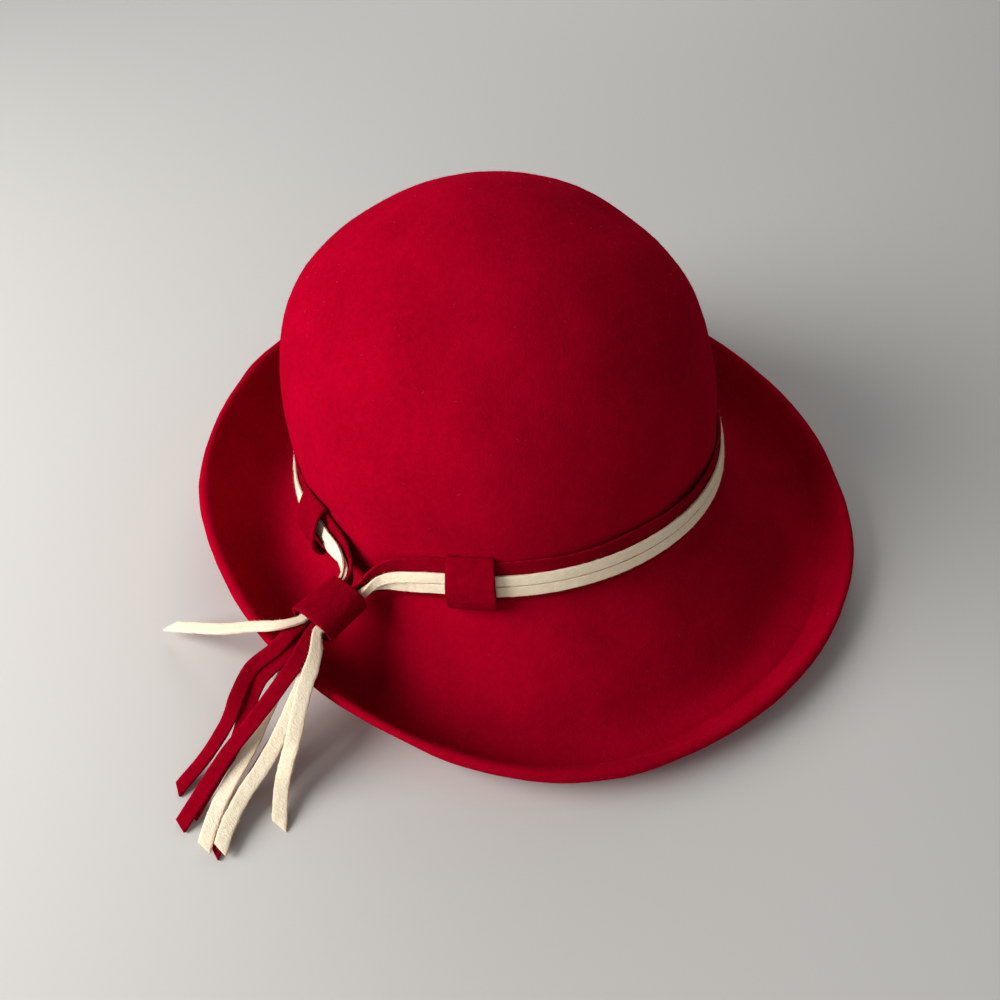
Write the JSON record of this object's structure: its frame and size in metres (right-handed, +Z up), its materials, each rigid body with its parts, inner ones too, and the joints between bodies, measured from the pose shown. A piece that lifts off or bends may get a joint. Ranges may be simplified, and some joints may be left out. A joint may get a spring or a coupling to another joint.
{
  "type": "cloche hat",
  "caption": "Cloche hat of blocked wool felt with a rolled brim, a felt strip and flat laces round the crown, gathered by a felt slide with loose ends.",
  "frame": {"origin": "on the table, under the middle of the brim", "axes": "+Z up, the wearer faces -Y, +X to the wearer's left; the lace ends hang on the wearer's right"},
  "size_m": [0.3318, 0.2856, 0.144],
  "materials": {
    "felt_red": "matt wool felt with a short nap",
    "lace_cream": "matt, slightly napped flat lace"
  },
  "bodies": {
    "root": {"felt_body": "felt_red", "band_strip": "felt_red", "lace_upper": "lace_cream", "lace_lower": "lace_cream", "keeper_front": "felt_red", "keeper_side": "felt_red", "slide_tube": "felt_red", "tail_cream_left": "lace_cream", "tail_cream_right": "lace_cream", "tail_red_outer": "felt_red", "tail_red_second": "felt_red", "tail_cream_middle": "lace_cream", "tail_cream_inner": "lace_cream", "tail_red_under_a": "felt_red", "tail_red_under_b": "felt_red"}
  },
  "joints": []
}
